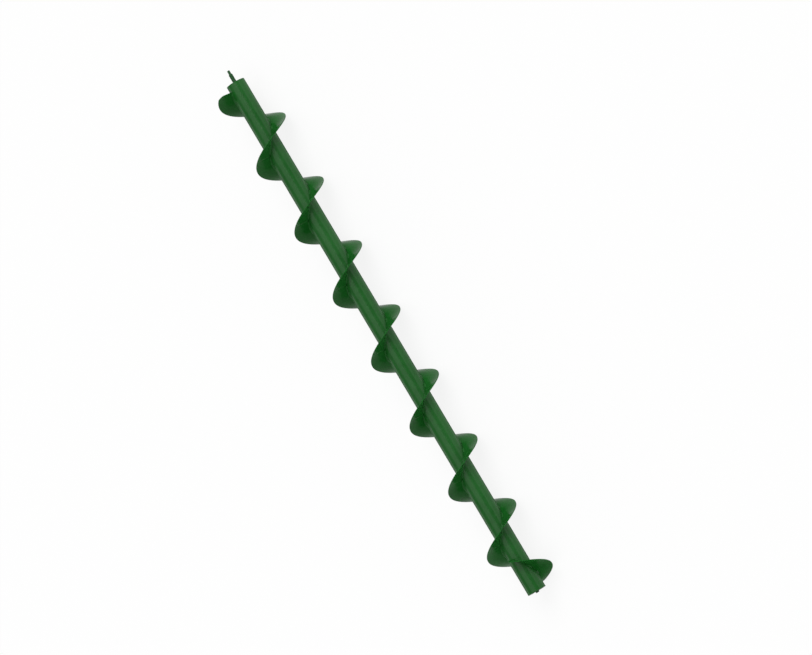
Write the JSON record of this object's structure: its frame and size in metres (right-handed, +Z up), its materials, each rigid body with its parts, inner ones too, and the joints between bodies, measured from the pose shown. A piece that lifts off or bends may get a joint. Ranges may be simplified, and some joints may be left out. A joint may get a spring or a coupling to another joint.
{
  "type": "screw conveyor auger",
  "caption": "Long screw conveyor auger: a centre pipe with right-handed welded flights, a short left-handed flight at the tail end and a thin stub shaft at each end, painted green.",
  "frame": {"origin": "on the floor, under the middle of the whole length, with the auger lying on the rims of its flights", "axes": "+X along the auger's axis towards the tail end, +Z up"},
  "size_m": [2.241, 0.1998, 0.1998],
  "materials": {
    "pipe_paint": "satin green paint",
    "flight_paint": "satin green paint over plate, polished a little at the rim",
    "stub_paint": "satin green paint over turned steel",
    "inner_steel": "plain cut plate, never seen"
  },
  "bodies": {
    "root": {"center_pipe": "pipe_paint", "drive_end_disc": "stub_paint", "tail_end_disc": "stub_paint", "drive_shaft": "stub_paint", "tail_pin": "stub_paint", "drive_inner_disc": "inner_steel", "tail_inner_disc": "inner_steel", "flight_1": "flight_paint", "flight_2": "flight_paint", "flight_3": "flight_paint", "flight_4": "flight_paint", "flight_5": "flight_paint", "flight_6": "flight_paint", "flight_7": "flight_paint", "flight_8": "flight_paint", "reverse_flight": "flight_paint"}
  },
  "joints": []
}
